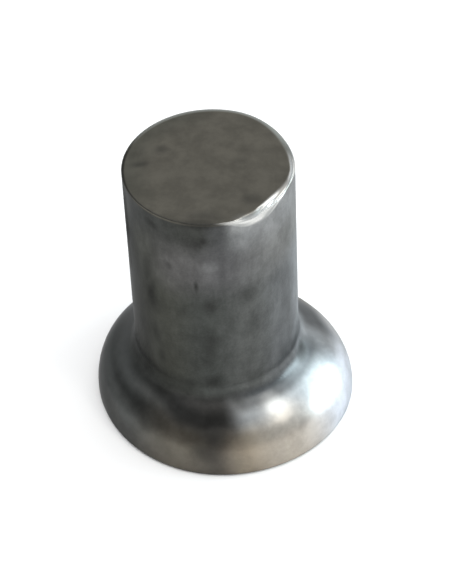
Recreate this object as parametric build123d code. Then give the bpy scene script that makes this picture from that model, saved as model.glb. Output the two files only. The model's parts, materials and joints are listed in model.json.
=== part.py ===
from build123d import *
import os
from math import atan, hypot, radians, tan

# A cold-headed solid rivet of plain steel, standing on the flat face of its countersunk head.
# The origin is where the shank's axis meets that face. +Z runs up the shank to its cut end.
os.makedirs("parts", exist_ok=True)

# Driving dimensions, in millimetres
shank_diameter = 5.0
overall_length = 9.38
head_width = 8.2
head_narrow_width = 7.76
head_offset = 0.12
rim_edge_radius = 0.12
rim_land = 0.02
flank_radius = 1.5
neck_radius = 0.75
end_edge_radius = 0.2

# The way that the head spread widest and off centre, in degrees from +X, and its cone's mean included angle
spread_direction = -28.0
head_angle = 90.0

# The most of the cone's length that the rounds at its two ends may take up between them
cone_round_share = 0.95

# How far from a height an edge may lie and still count as level with it
level_tolerance = 0.001

shank_r = shank_diameter / 2
mean_head_r = (head_width + head_narrow_width) / 4
cone_height = (mean_head_r - shank_r) / tan(radians(head_angle / 2))

# A round takes this length of each side for each millimetre of its radius, most where the head reaches furthest
widest_turn = atan((head_width / 2 + head_offset - shank_r) / cone_height)
round_reach = tan(widest_turn / 2)

# On a head little wider than its shank both rounds shrink together, so that they still fit on the cone
shortest_cone = hypot(min(head_width, head_narrow_width) / 2 - head_offset - shank_r, cone_height)
round_fit = min(1, cone_round_share * shortest_cone / ((flank_radius + neck_radius) * round_reach))
flank_round = flank_radius * round_fit
neck_round = neck_radius * round_fit

# Heights of the two edges where the cone meets the rim's side and the shank's side
rim_height = rim_edge_radius + rim_land + flank_round * round_reach
neck_height = rim_height + cone_height


def edges_at(solid, height):
    """The edges that lie level at one height, such as the corner between the rim and the cone."""
    return solid.edges().filter_by_position(Axis.Z, height - level_tolerance, height + level_tolerance)


# The head's outline is a little oval and off the shank's axis, and its cone narrows to the round shank
head_outline = Rot(0, 0, spread_direction) * Pos(head_offset, 0) * Ellipse(head_width / 2, head_narrow_width / 2)
shank_outline = Pos(0, 0, neck_height) * Circle(shank_r)
rim = extrude(head_outline, rim_height)
cone = loft([Pos(0, 0, rim_height) * head_outline, shank_outline], ruled=True)
shank = extrude(shank_outline, overall_length - neck_height)

# The rivet is one piece of wire, upset at one end and sheared off at the other
rivet_body = rim + cone + shank
rivet_body = fillet(edges_at(rivet_body, rim_height), flank_round)
rivet_body = fillet(edges_at(rivet_body, neck_height), neck_round)
rivet_body = fillet(edges_at(rivet_body, 0), rim_edge_radius)
rivet_body = fillet(edges_at(rivet_body, overall_length), end_edge_radius)
rivet_body.label = "rivet_body"
export_step(rivet_body, "parts/rivet_body.step")
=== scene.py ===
import json
from math import atan2, cos, hypot, pi, radians, sin, tan

import bmesh
import bpy
from mathutils import Matrix, Vector, noise


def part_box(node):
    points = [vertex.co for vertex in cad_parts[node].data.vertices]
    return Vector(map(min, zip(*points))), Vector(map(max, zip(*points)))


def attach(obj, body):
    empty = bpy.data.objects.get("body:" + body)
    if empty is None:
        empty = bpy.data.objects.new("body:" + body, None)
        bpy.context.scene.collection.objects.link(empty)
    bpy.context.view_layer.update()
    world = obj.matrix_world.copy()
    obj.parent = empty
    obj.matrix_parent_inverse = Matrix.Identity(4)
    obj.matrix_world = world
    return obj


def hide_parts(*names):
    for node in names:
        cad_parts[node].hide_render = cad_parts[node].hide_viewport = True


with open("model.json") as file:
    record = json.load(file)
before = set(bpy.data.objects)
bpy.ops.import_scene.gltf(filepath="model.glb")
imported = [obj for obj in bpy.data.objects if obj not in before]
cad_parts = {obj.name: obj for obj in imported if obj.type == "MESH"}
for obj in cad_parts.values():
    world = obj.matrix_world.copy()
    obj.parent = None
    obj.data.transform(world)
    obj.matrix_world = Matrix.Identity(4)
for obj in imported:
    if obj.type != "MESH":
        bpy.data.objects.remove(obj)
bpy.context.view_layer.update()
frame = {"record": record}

# The camera
# A hand-held close view from the front, 46 degrees above the bench and a little rolled,
# so that the shank leans to the left as it rises.
MM = 0.001
frame_width_px = 452
frame_height_px = 584
focal_px = 2501.1
sensor_size = 36
nearest_seen = 1 * MM
farthest_seen = 10
camera_distance = 75.0 * MM
camera_elevation = radians(46.0)
camera_roll = radians(2.87)
aim_px = (214.2, 277.87)

lowest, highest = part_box("rivet_body")
aim_point = Vector((0, 0, (lowest.z + highest.z) / 2))
camera_data = bpy.data.cameras.new("photo_camera")
camera_data.sensor_width = sensor_size
camera_data.lens = focal_px / frame_height_px * sensor_size
camera_data.clip_start = nearest_seen
camera_data.clip_end = farthest_seen
camera = bpy.data.objects.new("photo_camera", camera_data)
bpy.context.scene.collection.objects.link(camera)
aside = (frame_width_px / 2 - aim_px[0]) / focal_px * camera_distance
down = (frame_height_px / 2 - aim_px[1]) / focal_px * camera_distance
tilt = Matrix.Rotation(pi / 2 - camera_elevation, 4, "X") @ Matrix.Rotation(-camera_roll, 4, "Z")
stand_off = Matrix.Translation((aside, -down, camera_distance))
camera.matrix_world = Matrix.Translation(aim_point) @ tilt @ stand_off
bpy.context.scene.camera = camera

# The rivet
# One piece of plain steel wire, cold-headed: the head was upset in a die, so it is smooth and a
# little uneven, and the shank's end was sheared off, which left one edge rolled over and crushed.
# It is bare, handled and tarnished, and its colour carries painted shade on the left and in the corner under
# the head, and painted light and reflections on the right.
shank_pin = next(m for m in frame["record"]["mounts"] if m["name"] == "shank")
shank_radius = shank_pin["dims"]["r_mm"]
rivet_length = highest.z / MM
head_radius = 3.918
head_edge_round = 0.12
head_land = 0.02
flank_round = 1.79
cone_slope = radians(44.8)
neck_round = 0.75
end_round = 0.03
steps_around = 320

# The mesh is finer this near to the end's edge, where the wear goes
end_margin = 0.55

flank_drop = flank_round * tan(cone_slope / 2)
cone_rise = (head_radius - shank_radius) / tan(cone_slope)
neck_corner_z = head_edge_round + head_land + flank_drop + cone_rise
shank_start_z = neck_corner_z + neck_round * tan(cone_slope / 2)
shank_stop_z = rivet_length - end_round

rivet_mesh = bmesh.new()


def run_to(vert, radius, height, parts):
    """Extrudes the outline's last point straight to a new one, in equal parts."""
    for part in range(1, parts + 1):
        moved = bmesh.ops.extrude_vert_indiv(rivet_mesh, verts=[vert])["verts"][0]
        moved.co = vert.co.lerp(Vector((radius, 0, height)), 1 / (parts - part + 1))
        vert = moved
    return vert


def arc_about(vert, centre, angle, parts):
    """Spins the outline's last point about an arc's centre, given as a radius and a height."""
    made = bmesh.ops.spin(
        rivet_mesh, geom=[vert], cent=(centre[0], 0, centre[1]), axis=(0, 1, 0),
        angle=-angle, steps=parts, use_merge=False, use_duplicate=False)
    return next(g for g in made["geom_last"] if isinstance(g, bmesh.types.BMVert))


# The outline runs from the middle of the head's face up to the middle of the end, and is spun
head_edge_centre = (head_radius - head_edge_round, head_edge_round)
flank_centre = (head_radius - flank_round, head_edge_round + head_land)
neck_centre = (shank_radius + neck_round, shank_start_z)
end_edge_centre = (shank_radius - end_round, shank_stop_z)
cone_top_radius = neck_centre[0] - neck_round * cos(cone_slope)
cone_top_z = neck_centre[1] - neck_round * sin(cone_slope)

point = rivet_mesh.verts.new((0, 0, 0))
point = run_to(point, head_edge_centre[0], 0, parts=10)
point = arc_about(point, head_edge_centre, pi / 2, parts=6)
point = run_to(point, head_radius, flank_centre[1], parts=1)
point = arc_about(point, flank_centre, cone_slope, parts=30)
point = run_to(point, cone_top_radius, cone_top_z, parts=12)
point = arc_about(point, neck_centre, -cone_slope, parts=14)
point = run_to(point, shank_radius, rivet_length - end_margin, parts=80)
point = run_to(point, shank_radius, shank_stop_z, parts=16)
point = arc_about(point, end_edge_centre, pi / 2, parts=4)
point = run_to(point, shank_radius - end_margin, rivet_length, parts=18)
point = run_to(point, 0, rivet_length, parts=24)
bmesh.ops.spin(
    rivet_mesh, geom=rivet_mesh.verts[:] + rivet_mesh.edges[:], cent=(0, 0, 0), axis=(0, 0, 1),
    angle=2 * pi, steps=steps_around, use_merge=True, use_duplicate=False)
bmesh.ops.remove_doubles(rivet_mesh, verts=rivet_mesh.verts, dist=0.0005)
bmesh.ops.recalc_face_normals(rivet_mesh, faces=rivet_mesh.faces)

# The head's unevenness: the cosine and sine parts of one, two and three waves round it, and how
# much less it spread at the front. It grows from nothing to all between two radii.
head_waves = [(0.122, 0.0), (0.042, -0.117), (0.052, 0.016)]
front_shortfall = 0.065
front_span = (0, 95)
swell_radii = (2.55, 3.4)

# The end face: a faint dish, and low waves that the shear left, with their steps for each millimetre.
# A point this little below the face's height still counts as on it.
dish_depth = 0.018
wave_depth = 0.006
waves_across = 0.9
waves_along = 1.3
wave_slice = 3.1
face_tolerance = 0.001

# The end's edge: how far each kind of wear comes in from the side and goes down from the top
sound_inward = 0.035
sound_drop = 0.03
crush_inward = 0.24
crush_drop = 0.42
back_inward = 0.26
back_drop = 0.24
right_inward = 0.18
right_drop = 0.2
flake_inward = 0.06
flake_drop = 0.05

# Where each kind of wear lies: the middle and the reach to either side, in degrees from the front
crush_drop_span = (33, 33)
crush_inward_span = (48, 36)
back_span = (190, 125)
right_span = (104, 54)

# The flakes and strands that the crushed metal was drawn out into: how fast they change for each
# degree round and each radian down the edge, how deep the strands are, and how plain they show
flakes_round = 0.11
flake_slice = (7.0, 2.0)
strands_round = 0.055
strands_down = 3.4
strand_slant = 0.03
strand_slice = 5.0
strand_depth = 0.11
right_strand_share = 0.6
strand_contrast = 0.9

# The wear reaches in this far from the side at most. Its marks fade out over this share of the
# edge's turn where it meets the side and where it meets the face.
worn_width = end_margin + 0.1
flat_share = 0.25


def rise(low, high, value):
    """0 below low, 1 above high, and smooth between them."""
    share = min(1, max(0, (value - low) / (high - low)))
    return share * share * (3 - 2 * share)


def hump(span, around):
    """1 at the middle of a span of angles, falling smoothly to 0 at its reach to either side."""
    middle, reach = span
    apart = abs((around - middle + 180) % 360 - 180)
    return 1 - rise(0, reach, apart)


def head_swell(turned):
    """How far the upset head stands out of true, by the angle from +X in radians."""
    return sum(
        cosine_part * cos(waves * turned) + sine_part * sin(waves * turned)
        for waves, (cosine_part, sine_part) in enumerate(head_waves, 1))


edge_wear_layer = rivet_mesh.verts.layers.float.new("edge_wear")
edge_strand_layer = rivet_mesh.verts.layers.float.new("edge_strand")
for vert in rivet_mesh.verts:
    radius = vert.co.xy.length
    turned = atan2(vert.co.y, vert.co.x)
    around = (turned * 180 / pi + 90 + 180) % 360 - 180
    outward = Vector((cos(turned), sin(turned), 0))
    height = vert.co.z

    # The head's spread grows from the neck out to the rim
    if height < neck_corner_z:
        grown = rise(*swell_radii, radius)
        radius += grown * (head_swell(turned) - front_shortfall * hump(front_span, around))

    # The end face is dished and a little wavy
    if height > rivet_length - face_tolerance:
        dish = dish_depth * (1 - (radius / shank_radius) ** 2)
        wave = noise.noise(Vector((vert.co.x * waves_across, vert.co.y * waves_along, wave_slice)))
        height -= dish + wave_depth * (1 + wave)

    # The end's edge is nearly sharp at the front left, slopes at the back and at the right, and is
    # crushed into strands at the front right
    if height > rivet_length - end_margin and radius > shank_radius - worn_width:
        crush = hump(crush_drop_span, around)
        crush_in = hump(crush_inward_span, around)
        back = hump(back_span, around)
        right = hump(right_span, around)
        flake = crush * noise.noise(Vector((around * flakes_round, *flake_slice)))
        inward = (sound_inward + crush_inward * crush_in + back_inward * back
                  + right_inward * right + flake_inward * flake)
        drop = (sound_drop + crush_drop * crush + back_drop * back
                + right_drop * right + flake_drop * flake)
        from_side = (radius - (shank_radius - inward)) / inward
        from_top = (height - (rivet_length - drop)) / drop
        if from_side > 0 and from_top > 0:
            reach = hypot(from_side, from_top)
            lean = atan2(from_top, from_side)
            strand_place = lean * strands_down - around * strand_slant
            strand = noise.noise(Vector((around * strands_round, strand_place, strand_slice)))
            if reach > 1:
                depth = strand_depth * max(crush, right_strand_share * right)
                uneven = 1 + depth * strand * sin(2 * lean)
                radius = shank_radius - inward + inward * from_side / reach * uneven
                height = rivet_length - drop + drop * from_top / reach * uneven
            leaning = lean / (pi / 2)
            off_flats = rise(0, flat_share, leaning) * rise(0, flat_share, 1 - leaning)
            vert[edge_wear_layer] = min(1, reach) ** 4 * off_flats
            vert[edge_strand_layer] = 0.5 + strand_contrast * strand
    vert.co = outward * radius + Vector((0, 0, min(height, rivet_length)))

bmesh.ops.scale(rivet_mesh, vec=(MM, MM, MM), verts=rivet_mesh.verts)
rivet_data = bpy.data.meshes.new("rivet")
rivet_mesh.to_mesh(rivet_data)
rivet_mesh.free()
rivet_data.shade_smooth()
rivet = bpy.data.objects.new("rivet", rivet_data)
bpy.context.scene.collection.objects.link(rivet)

# The tarnished steel, with oil and finger marks, and with painted light and shade in its colour: painted
# shade on the left and in the corner under the head, painted light and reflections on the right. Its
# tarnished film keeps it from mirroring as fully at a slant as clean steel does
slant_mirroring = 0.56
steel = bpy.data.materials.new("tarnished_steel_with_painted_light")
steel.use_nodes = True
tree = steel.node_tree
shader = tree.nodes["Principled BSDF"]
shader.inputs["Metallic"].default_value = 1.0
shader.inputs["Specular Tint"].default_value = (slant_mirroring, slant_mirroring, slant_mirroring, 1)


def add(kind, **values):
    """Adds a node to the steel's tree and sets its properties."""
    node = tree.nodes.new(kind)
    for name, value in values.items():
        setattr(node, name, value)
    return node


def feed(socket, source):
    """Links a socket to another node's output, or sets its plain value."""
    if isinstance(source, bpy.types.NodeSocket):
        tree.links.new(source, socket)
    else:
        socket.default_value = source


def calc(operation, *sources):
    """A Math node's result."""
    node = add("ShaderNodeMath", operation=operation)
    for socket, source in zip(node.inputs, sources):
        feed(socket, source)
    return node.outputs[0]


def times(first, second):
    """The product of two values."""
    return calc("MULTIPLY", first, second)


def vector_calc(operation, *sources):
    """A Vector Math node, fed with its sources."""
    node = add("ShaderNodeVectorMath", operation=operation)
    for socket, source in zip(node.inputs, sources):
        feed(socket, source)
    return node


def map_range(interpolation, *sources):
    """A Map Range node's result, from a value, its low and high, and what these become."""
    node = add("ShaderNodeMapRange", interpolation_type=interpolation)
    for socket, source in zip(node.inputs, sources):
        feed(socket, source)
    return node.outputs["Result"]


def between(value, low, high, start=0.0, stop=1.0):
    """A value's smooth rise from start, at low, to stop, at high."""
    return map_range("SMOOTHSTEP", value, low, high, start, stop)


def band(value, start, full, ease, stop):
    """1 where a value lies from full to ease, falling smoothly to 0 at start and at stop."""
    return times(between(value, start, full), between(value, stop, ease))


def mixed(share, first, second, blend="MIX"):
    """Two colours mixed by a share."""
    node = add("ShaderNodeMix", data_type="RGBA", blend_type=blend)
    feed(node.inputs["Factor"], share)
    feed(node.inputs["A"], first)
    feed(node.inputs["B"], second)
    return node.outputs["Result"]


def stain_and_painted_light(surface, mask, strength, tint):
    """A surface's colour under a stain, or under painted light or shade, as strong as its mask says."""
    return mixed(times(mask, strength), surface, (*tint, 1))


def grain(scale, detail, stretch=(1, 1, 1), rough=0.5):
    """A noise pattern in millimetres, drawn out along an axis where stretch is small."""
    sized = add("ShaderNodeMapping")
    feed(sized.inputs["Vector"], place)
    sized.inputs["Scale"].default_value = stretch
    node = add("ShaderNodeTexNoise")
    feed(node.inputs["Vector"], sized.outputs["Vector"])
    node.inputs["Scale"].default_value = scale
    node.inputs["Detail"].default_value = detail
    node.inputs["Roughness"].default_value = rough
    return node


def fill_ramp(ramp, stops):
    """Sets a colour ramp's stops, each a position and a colour, in rising order."""
    for number, (position, tint) in enumerate([stops[0], stops[-1], *stops[1:-1]]):
        stop = ramp.elements[number] if number < 2 else ramp.elements.new(position)
        stop.position = position
        stop.color = (*tint, 1)


# A place on the rivet, in millimetres
in_metres = add("ShaderNodeTexCoord")
in_mm = vector_calc("SCALE", in_metres.outputs["Object"])
in_mm.inputs["Scale"].default_value = 1 / MM
place = in_mm.outputs[0]
place_split = add("ShaderNodeSeparateXYZ")
feed(place_split.inputs[0], place)
x, y, z = place_split.outputs
level_place = add("ShaderNodeCombineXYZ")
feed(level_place.inputs[0], x)
feed(level_place.inputs[1], y)
from_axis = vector_calc("LENGTH", level_place.outputs[0]).outputs["Value"]

# The same place after a slow drift, which keeps the edges of stains from being geometric
drift_reach = 0.7
drift_pattern = grain(scale=0.6, detail=1)
drift = vector_calc("SUBTRACT", drift_pattern.outputs["Color"], (0.5, 0.5, 0.5))
drift_mm = vector_calc("SCALE", drift.outputs[0])
drift_mm.inputs["Scale"].default_value = drift_reach
drifted_place = vector_calc("ADD", place, drift_mm.outputs[0]).outputs[0]
drifted_split = add("ShaderNodeSeparateXYZ")
feed(drifted_split.inputs[0], drifted_place)
up = drifted_split.outputs["Z"]


def facing(degrees):
    """How far a place faces an angle, counted from the front to the right.

    It is 1 at that angle, 0 at right angles to it and -1 opposite.
    """
    turn = radians(degrees)
    along = calc("ADD", times(x, sin(turn)), times(y, -cos(turn)))
    return calc("DIVIDE", along, calc("MAXIMUM", from_axis, 0.01))


# A soft round or drawn-out spot about a place, for the real marks and the painted light and shade alike
painted_spot_and_smudge_tree = bpy.data.node_groups.new("smudge_and_painted_spot", "ShaderNodeTree")
for name in ("Place", "Centre", "Size"):
    painted_spot_and_smudge_tree.interface.new_socket(name, in_out="INPUT", socket_type="NodeSocketVector")
painted_spot_and_smudge_tree.interface.new_socket("Mask", in_out="OUTPUT", socket_type="NodeSocketFloat")
spot_in = painted_spot_and_smudge_tree.nodes.new("NodeGroupInput")
spot_out = painted_spot_and_smudge_tree.nodes.new("NodeGroupOutput")
offset = painted_spot_and_smudge_tree.nodes.new("ShaderNodeVectorMath")
offset.operation = "SUBTRACT"
shrunk = painted_spot_and_smudge_tree.nodes.new("ShaderNodeVectorMath")
shrunk.operation = "DIVIDE"
far = painted_spot_and_smudge_tree.nodes.new("ShaderNodeVectorMath")
far.operation = "LENGTH"
fade = painted_spot_and_smudge_tree.nodes.new("ShaderNodeMapRange")
fade.interpolation_type = "SMOOTHSTEP"
fade.inputs["From Min"].default_value = 1.0
fade.inputs["From Max"].default_value = 0.0
painted_spot_and_smudge_tree.links.new(spot_in.outputs["Place"], offset.inputs[0])
painted_spot_and_smudge_tree.links.new(spot_in.outputs["Centre"], offset.inputs[1])
painted_spot_and_smudge_tree.links.new(offset.outputs[0], shrunk.inputs[0])
painted_spot_and_smudge_tree.links.new(spot_in.outputs["Size"], shrunk.inputs[1])
painted_spot_and_smudge_tree.links.new(shrunk.outputs[0], far.inputs[0])
painted_spot_and_smudge_tree.links.new(far.outputs["Value"], fade.inputs["Value"])
painted_spot_and_smudge_tree.links.new(fade.outputs["Result"], spot_out.inputs["Mask"])


def smudges_and_painted_spots(spots):
    """The strongest of several spots at each place, real marks and painted light and shade alike.

    A spot is an angle from the front to the right in degrees, a distance from the axis, a
    height, its half sizes along X, Y and Z in millimetres, and a strength.
    """
    strongest = 0.0
    for around, radius, height, size, strength in spots:
        node = add("ShaderNodeGroup", node_tree=painted_spot_and_smudge_tree)
        turn = radians(around)
        feed(node.inputs["Place"], drifted_place)
        node.inputs["Centre"].default_value = (radius * sin(turn), -radius * cos(turn), height)
        node.inputs["Size"].default_value = size
        strongest = calc("MAXIMUM", strongest, times(node.outputs["Mask"], strength))
    return strongest


def tarnish_and_painted_sides(degrees, stops):
    """A colour ramp round the rivet, by how far a place faces an angle, from -1 to 1, which paints shade on
    the dark side and light on the bright side over the steel's tarnished tone.
    """
    node = add("ShaderNodeValToRGB")
    node.color_ramp.interpolation = "EASE"
    feed(node.inputs["Fac"], map_range("LINEAR", facing(degrees), -1, 1))
    fill_ramp(node.color_ramp, [((faced + 1) / 2, tint) for faced, tint in stops])
    return node.outputs["Color"]


# The shank is painted dark on the left as shade and pale on the right as the window's reflection
lower_shank = tarnish_and_painted_sides(95, [
    (-1.0, (0.045, 0.046, 0.043)),
    (-0.66, (0.057, 0.058, 0.05)),
    (-0.2, (0.055, 0.058, 0.054)),
    (0.32, (0.092, 0.095, 0.091)),
    (0.8, (0.145, 0.151, 0.154)),
    (1.0, (0.3, 0.32, 0.335)),
])
upper_shank = tarnish_and_painted_sides(95, [
    (-1.0, (0.012, 0.013, 0.012)),
    (-0.86, (0.066, 0.067, 0.06)),
    (-0.5, (0.108, 0.105, 0.102)),
    (0.0, (0.1, 0.099, 0.1)),
    (0.8, (0.195, 0.197, 0.192)),
    (1.0, (0.28, 0.29, 0.29)),
])
top_shank = tarnish_and_painted_sides(75, [
    (-1.0, (0.06, 0.062, 0.06)),
    (0.1, (0.047, 0.048, 0.044)),
    (0.35, (0.072, 0.073, 0.073)),
    (0.62, (0.225, 0.23, 0.23)),
    (0.85, (0.245, 0.249, 0.249)),
    (1.0, (0.29, 0.297, 0.3)),
])
shank_steel = mixed(between(up, 6.1, 7.5), lower_shank, upper_shank)
shank_steel = mixed(between(up, 7.7, 8.9), shank_steel, top_shank)

# The head is painted brighter at the right as the window's reflection, most on the outer part of its flank,
# and darker at the left as shade
inner_head = tarnish_and_painted_sides(52, [
    (-1.0, (0.045, 0.047, 0.046)),
    (-0.5, (0.056, 0.059, 0.058)),
    (-0.12, (0.1, 0.102, 0.098)),
    (0.15, (0.14, 0.14, 0.136)),
    (0.42, (0.12, 0.118, 0.113)),
    (0.62, (0.13, 0.127, 0.12)),
    (0.82, (0.42, 0.425, 0.42)),
    (1.0, (0.46, 0.475, 0.48)),
])
outer_head = tarnish_and_painted_sides(70, [
    (-1.0, (0.07, 0.073, 0.072)),
    (-0.6, (0.085, 0.088, 0.085)),
    (0.0, (0.145, 0.132, 0.108)),
    (0.34, (0.088, 0.08, 0.07)),
    (0.52, (0.17, 0.15, 0.12)),
    (0.78, (0.44, 0.44, 0.44)),
    (1.0, (0.66, 0.7, 0.76)),
])
on_outer_head = between(up, 1.75, 1.2)
head_steel = mixed(on_outer_head, inner_head, outer_head)

# The head's painted light and shade: a painted blue grey reflection far round to the right, a painted
# dark arc of shade on the left, a painted warm reflection at the front, and painted shade along the
# lower rim at the front left
far_right_painted_reflection = times(between(facing(122), 0.55, 0.9), between(up, 1.2, 1.6))
head_steel = stain_and_painted_light(head_steel, far_right_painted_reflection, 0.28, (0.1, 0.125, 0.15))
painted_shade_crescent = times(band(up, 0.85, 1.2, 1.5, 1.85), between(facing(-82), 0.6, 0.9))
head_steel = stain_and_painted_light(head_steel, painted_shade_crescent, 0.4, (0.024, 0.026, 0.025))
painted_warm_reflection = times(between(facing(30), 0.82, 1.0), on_outer_head)
head_steel = stain_and_painted_light(head_steel, painted_warm_reflection, 0.65, (0.42, 0.355, 0.27))
low_rim_painted_shade = times(between(up, 1.0, 0.4), between(facing(-30), 0.3, 0.8))
head_steel = stain_and_painted_light(head_steel, low_rim_painted_shade, 0.25, (0.05, 0.046, 0.042))

# The head's steel goes over into the shank's at the neck
on_head = between(z, neck_corner_z + 0.05, neck_corner_z - 0.35)
colour = mixed(on_head, shank_steel, head_steel)

# Painted shade in the corner under the head, at the right and at the left
right_corner_painted_shade = times(band(z, 1.72, 1.98, 2.18, 2.42), between(facing(50), 0.72, 0.9))
colour = stain_and_painted_light(colour, right_corner_painted_shade, 0.7, (0.03, 0.032, 0.034))
left_corner_painted_shade = times(band(z, 2.1, 2.35, 2.5, 3.1), between(facing(-72), 0.45, 0.8))
colour = stain_and_painted_light(colour, left_corner_painted_shade, 0.65, (0.018, 0.019, 0.018))

# A painted band of shade at the front left, which climbs from the flank towards the corner
band_height = between(facing(0), 0.5, 1.0, 2.15, 1.7)
from_band = calc("ABSOLUTE", calc("SUBTRACT", up, band_height))
painted_shade_band = times(between(from_band, 0.5, 0.05), between(facing(-38), 0.6, 0.8))
colour = stain_and_painted_light(colour, painted_shade_band, 0.68, (0.02, 0.021, 0.02))

# The end face is an even brown grey, with painted shade along its back left edge
on_end = between(z, rivet_length - 0.12, rivet_length - 0.05)
end_ring_painted_shade = times(between(from_axis, 1.5, 2.25), between(facing(-120), 0.1, 0.9))
end_steel = stain_and_painted_light((0.096, 0.09, 0.075, 1), end_ring_painted_shade, 0.35, (0.045, 0.05, 0.042))
colour = mixed(on_end, colour, end_steel)

# Smudges of oil and finger marks: below the end, down the shank and on the end face. The spots at
# the neck and on the head's flank are painted shade, which dims the reflections there
smudges_and_painted_shade = smudges_and_painted_spots([
    (-6, 2.5, 8.64, (0.26, 0.3, 0.28), 0.95),
    (-10, 2.5, 8.6, (0.75, 0.4, 0.4), 0.5),
    (-6, 2.5, 9.3, (1.0, 0.5, 0.24), 0.6),
    (-41, 2.5, 8.8, (0.45, 0.4, 0.28), 0.5),
    (-76, 2.5, 7.6, (0.3, 0.42, 2.4), 0.95),
    (-33, 2.5, 7.5, (0.2, 0.2, 0.3), 0.4),
    (-12, 2.5, 6.95, (0.14, 0.2, 0.36), 0.75),
    (-51, 2.5, 6.8, (0.32, 0.35, 0.7), 0.5),
    (20, 2.5, 6.3, (0.6, 0.4, 0.6), 0.42),
    (-3, 2.5, 6.1, (0.35, 0.3, 0.65), 0.5),
    (-46, 2.5, 5.9, (0.32, 0.35, 0.95), 0.85),
    (-6, 2.5, 4.4, (0.42, 0.3, 1.5), 0.5),
    (-44, 2.5, 4.2, (0.35, 0.35, 1.0), 0.45),
    (-44, 2.5, 3.4, (0.3, 0.35, 0.6), 0.4),
    (-5, 2.5, 2.9, (0.45, 0.5, 0.4), 0.6),
    # These five, at the neck and on the head's flank, are painted shade over the reflections
    (74, 2.68, 2.16, (0.5, 0.6, 0.32), 0.8),
    (13, 2.76, 2.06, (0.5, 0.5, 0.42), 0.75),
    (-5, 3.45, 1.25, (0.7, 0.7, 0.5), 0.72),
    (-40, 3.5, 1.1, (0.5, 0.5, 0.4), 0.45),
    (-10, 3.78, 0.85, (0.75, 0.6, 0.6), 0.5),
    (-116, 1.5, 9.38, (0.4, 0.35, 0.5), 0.5),
    (-92, 2.06, 9.38, (0.45, 0.3, 0.5), 0.55),
    (96, 0.93, 9.38, (0.5, 0.3, 0.5), 0.25),
    (-5, 2.1, 9.38, (0.8, 0.35, 0.5), 0.45),
    (38, 2.0, 9.38, (0.5, 0.4, 0.4), 0.4),
])
colour = mixed(smudges_and_painted_shade, colour, (0.035, 0.035, 0.033, 1))

# A painted glow of highlight below the crushed edge, where the rolled metal faces up, and a wiped place on
# the front of the shank
painted_glow_and_wiped_spots = smudges_and_painted_spots([
    (22, 2.5, 9.05, (0.75, 0.5, 0.34), 0.7),
    (60, 2.5, 9.1, (0.7, 0.6, 0.28), 0.4),
    (0, 2.5, 7.75, (0.5, 0.4, 0.35), 0.22),
])
colour = mixed(painted_glow_and_wiped_spots, colour, (0.34, 0.345, 0.34, 1))

# Mottle everywhere, with streaks along the shank and a fine speckle on it
mottle = grain(scale=1.6, detail=6, rough=0.65)
streaks = grain(scale=2.6, detail=5, stretch=(1, 1, 0.42), rough=0.65)
speckle = grain(scale=14, detail=3)
on_shank = times(calc("SUBTRACT", 1.0, on_head), calc("SUBTRACT", 1.0, on_end))
mottle_tone = between(mottle.outputs["Fac"], 0.3, 0.7, 0.86, 1.14)
streak_tone = between(streaks.outputs["Fac"], 0.3, 0.7, 0.86, 1.14)
speckle_tone = between(speckle.outputs["Fac"], 0.3, 0.7, 0.95, 1.05)
shank_tone = times(calc("SUBTRACT", times(streak_tone, speckle_tone), 1.0), on_shank)
tone = times(mottle_tone, calc("ADD", 1.0, shank_tone))
tone_colour = add("ShaderNodeCombineColor")
for channel in tone_colour.inputs:
    feed(channel, tone)
colour = mixed(1.0, colour, tone_colour.outputs[0], blend="MULTIPLY")

# The end's edge: painted shade at the front left, painted light at the back, and worn bright where it is
# crushed, with painted glints along its strands
edge_wear = add("ShaderNodeAttribute", attribute_name="edge_wear").outputs["Fac"]
edge_strand = add("ShaderNodeAttribute", attribute_name="edge_strand").outputs["Fac"]
painted_shade_edge = times(edge_wear, between(facing(-48), 0.3, 0.75))
colour = stain_and_painted_light(colour, painted_shade_edge, 0.8, (0.04, 0.04, 0.037))
painted_light_back_edge = times(edge_wear, between(facing(170), 0.1, 0.7))
colour = stain_and_painted_light(colour, painted_light_back_edge, 0.75, (0.42, 0.43, 0.4))
bright_strands = times(edge_wear, between(edge_strand, 0.15, 0.75, 0.3, 1.0))
rubbed_with_painted_glints = times(bright_strands, times(between(facing(52), 0.62, 0.86), 0.9))
colour = mixed(rubbed_with_painted_glints, colour, (0.74, 0.73, 0.7, 1))
feed(shader.inputs["Base Color"], colour)

# The head is smoother than the shank, the worn edge is glossy, and the dark spots are duller, the oily ones
# and the painted shade spots alike
head_roughness = 0.3
shank_roughness = 0.42
rubbed_gloss = 0.22
dark_spot_dullness = 0.35
drawn = between(z, shank_start_z - 0.2, shank_start_z + 0.8, head_roughness, shank_roughness)
uneven_gloss = between(mottle.outputs["Fac"], 0.3, 0.7, -0.02, 0.02)
roughness = calc("ADD", drawn, uneven_gloss)
roughness = calc("SUBTRACT", roughness, times(rubbed_with_painted_glints, rubbed_gloss))
roughness = calc("ADD", roughness, times(smudges_and_painted_shade, dark_spot_dullness))
feed(shader.inputs["Roughness"], roughness)

# The shank's streaks and speckle can just be felt
shank_texture = times(calc("ADD", streaks.outputs["Fac"], speckle.outputs["Fac"]), on_shank)
bump = add("ShaderNodeBump")
bump.inputs["Strength"].default_value = 0.25
bump.inputs["Distance"].default_value = 0.02 * MM
feed(bump.inputs["Height"], shank_texture)
feed(shader.inputs["Normal"], bump.outputs["Normal"])
rivet_data.materials.append(steel)

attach(rivet, "root")
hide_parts("rivet_body")

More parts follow.
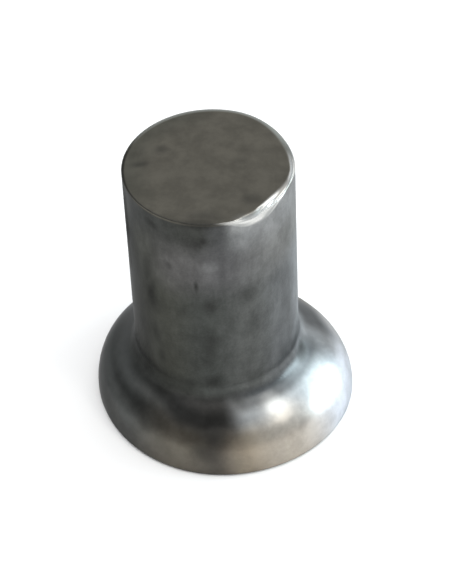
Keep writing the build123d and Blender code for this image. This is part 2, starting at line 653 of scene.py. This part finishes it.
# The floor
# A plain pale sheet of card that the rivet stands on. It is far wider than the view, so that no
# edge shows, and matt, so that only the rivet mirrors anything.
floor_size = 4
floor_mesh = bmesh.new()
bmesh.ops.create_grid(floor_mesh, x_segments=1, y_segments=1, size=floor_size)
floor_data = bpy.data.meshes.new("floor")
floor_mesh.to_mesh(floor_data)
floor_mesh.free()
floor = bpy.data.objects.new("floor", floor_data)
bpy.context.scene.collection.objects.link(floor)
card = bpy.data.materials.new("white_card")
card.use_nodes = True
card_shader = card.node_tree.nodes["Principled BSDF"]
card_shader.inputs["Base Color"].default_value = (0.9, 0.9, 0.9, 1)
card_shader.inputs["Roughness"].default_value = 0.9
card_shader.inputs["Specular IOR Level"].default_value = 0.1
floor_data.materials.append(card)

# The room
# A soft bright ceiling, a pale horizon and dark walls, which the steel mirrors. The wall on the
# right, where the window is, is paler and a little blue.
pale = (0.9, 0.9, 0.9)
ceiling = (2.5, 2.5, 2.5)
left_wall = (0.28, 0.28, 0.28)
right_wall = (0.7, 0.75, 0.8)
window_side = radians(98)
wall_blend = 0.14

world = bpy.data.worlds.new("room")
bpy.context.scene.world = world
world.use_nodes = True
room = world.node_tree
sky = room.nodes["Background"]
look = room.nodes.new("ShaderNodeTexCoord")
look_split = room.nodes.new("ShaderNodeSeparateXYZ")
room.links.new(look.outputs["Generated"], look_split.inputs[0])


def room_side(wall):
    """The colours up one side of the room, each from a sine of the angle above the horizon."""
    node = room.nodes.new("ShaderNodeValToRGB")
    room.links.new(look_split.outputs["Z"], node.inputs["Fac"])
    fill_ramp(node.color_ramp, [
        (0.06, pale), (0.24, wall), (0.68, wall), (0.88, ceiling), (1.0, ceiling)])
    return node.outputs["Color"]


to_window = room.nodes.new("ShaderNodeVectorMath")
to_window.operation = "DOT_PRODUCT"
room.links.new(look.outputs["Generated"], to_window.inputs[0])
to_window.inputs[1].default_value = (sin(window_side), -cos(window_side), 0)
wall_edge = room.nodes.new("ShaderNodeMapRange")
wall_edge.interpolation_type = "SMOOTHSTEP"
wall_edge.inputs["From Min"].default_value = 0.0
wall_edge.inputs["From Max"].default_value = wall_blend
room.links.new(to_window.outputs["Value"], wall_edge.inputs["Value"])
walls = room.nodes.new("ShaderNodeMix")
walls.data_type = "RGBA"
room.links.new(wall_edge.outputs["Result"], walls.inputs["Factor"])
room.links.new(room_side(left_wall), walls.inputs["A"])
room.links.new(room_side(right_wall), walls.inputs["B"])
room.links.new(walls.outputs["Result"], sky.inputs["Color"])


def lamp(name, around, elevation, distance, half_angles, radiance, tint):
    """An oval lamp that faces the rivet, placed by two angles and seen under two half angles, in degrees."""
    data = bpy.data.lights.new(name, "AREA")
    data.shape = "ELLIPSE"
    half_wide = distance * tan(radians(half_angles[0]))
    half_tall = distance * tan(radians(half_angles[1]))
    data.size = 2 * half_wide
    data.size_y = 2 * half_tall
    data.color = tint
    area = pi * half_wide * half_tall
    data.energy = radiance * pi * area
    level = cos(radians(elevation))
    way = Vector((sin(radians(around)) * level, -cos(radians(around)) * level, sin(radians(elevation))))
    made = bpy.data.objects.new(name, data)
    made.location = aim_point + way * distance
    made.rotation_euler = way.to_track_quat("Z", "Y").to_euler()
    bpy.context.scene.collection.objects.link(made)


lamp("window", around=97, elevation=13, distance=0.5, half_angles=(21, 16),
     radiance=5.2, tint=(0.8, 0.95, 1.0))
lamp("small_lamp", around=53, elevation=44, distance=0.5, half_angles=(5, 2.4),
     radiance=30.0, tint=(1.0, 0.97, 0.9))

bpy.context.scene.view_settings.view_transform = "Standard"
